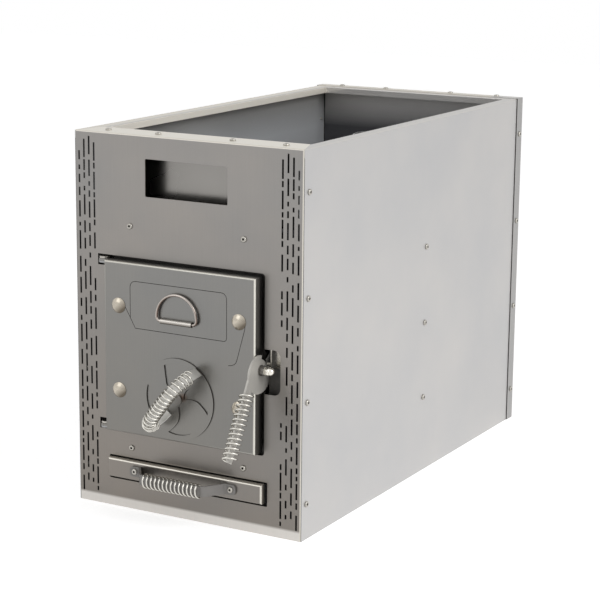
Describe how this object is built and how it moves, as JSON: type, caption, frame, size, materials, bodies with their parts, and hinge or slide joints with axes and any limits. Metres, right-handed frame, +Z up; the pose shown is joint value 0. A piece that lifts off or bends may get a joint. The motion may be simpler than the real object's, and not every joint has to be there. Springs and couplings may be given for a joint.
{
  "type": "sauna stove",
  "caption": "Wood-burning sauna stove: open-topped sheet casing round a firebox, with a latched door, air damper, pull ring and ash drawer with wire-wound handles.",
  "frame": {"origin": "middle of the casing's footprint on the floor", "axes": "+Z up, -Y towards the door, +X to the right seen from the front"},
  "size_m": [0.4076, 0.892, 0.5888],
  "materials": {
    "front_steel": "brushed stainless sheet",
    "side_steel": "satin stainless sheet",
    "inner_steel": "plain folded steel sheet",
    "firebox_steel": "heat-proof dark coated steel",
    "cast_iron": "rough casting",
    "strap_steel": "satin steel strip",
    "wire_steel": "bright spring wire",
    "fastener_steel": "bright plated fasteners",
    "seal_rope": "woven glass rope"
  },
  "bodies": {
    "stove": {"front_panel": "front_steel", "right_side_panel": "side_steel", "left_side_panel": "side_steel", "back_panel": "side_steel", "rear_rim_rail": "side_steel", "stone_guard": "front_steel", "base_tray": "inner_steel", "base_rails": "inner_steel", "firebox_body": "firebox_steel", "firebox_front_plate": "firebox_steel", "flue_collar": "firebox_steel", "flame_baffle": "firebox_steel", "grate": "cast_iron", "right_side_stay": "inner_steel", "left_side_stay": "inner_steel", "ash_channel": "inner_steel", "face_screws": "fastener_steel", "front_rim_screws": "fastener_steel", "rear_rim_screws": "fastener_steel", "side_front_screws": "fastener_steel", "side_middle_screws": "fastener_steel", "side_rear_screws": "fastener_steel", "hinge_brackets": "inner_steel", "hinge_pins": "fastener_steel", "latch_keeper": "strap_steel"},
    "door": {"door_shell": "front_steel", "door_inner_plate": "inner_steel", "door_seal": "seal_rope", "door_bolts": "fastener_steel", "door_nuts": "fastener_steel", "door_spacers": "inner_steel", "damper_rivet": "fastener_steel", "ring_sleeve": "strap_steel", "latch_bolt": "fastener_steel", "latch_washers": "fastener_steel", "latch_nuts": "fastener_steel"},
    "damper": {"damper_disc": "front_steel", "damper_handle": "strap_steel", "damper_coil": "wire_steel"},
    "pull_ring": {"pull_ring": "wire_steel"},
    "latch": {"latch_lever": "strap_steel", "latch_coil": "wire_steel"},
    "ash_drawer": {"drawer_front": "front_steel", "ash_drawer_box": "inner_steel", "drawer_handle": "strap_steel", "drawer_handle_screws": "fastener_steel", "drawer_coil": "wire_steel"}
  },
  "joints": [
    {"name": "door_hinge", "type": "hinge", "parent": "stove", "child": "door", "pos_m": [-0.148, -0.393, 0.26], "axis": [0, 0, -1], "range_deg": [0, 105]},
    {"name": "latch_pivot", "type": "hinge", "parent": "door", "child": "latch", "pos_m": [0.1335, -0.4045, 0.256], "axis": [-1, 0, 0], "range_deg": [0, 80]},
    {"name": "damper_spin", "type": "hinge", "parent": "door", "child": "damper", "pos_m": [-0.002, -0.416, 0.195], "axis": [0, -1, 0], "range_deg": [0, 45]},
    {"name": "ring_flip", "type": "hinge", "parent": "door", "child": "pull_ring", "pos_m": [-0.002, -0.419, 0.313], "axis": [1, 0, 0], "range_deg": [0, 175]},
    {"name": "drawer_slide", "type": "slide", "parent": "stove", "child": "ash_drawer", "axis": [0, -1, 0], "range_m": [0, 0.38]}
  ]
}
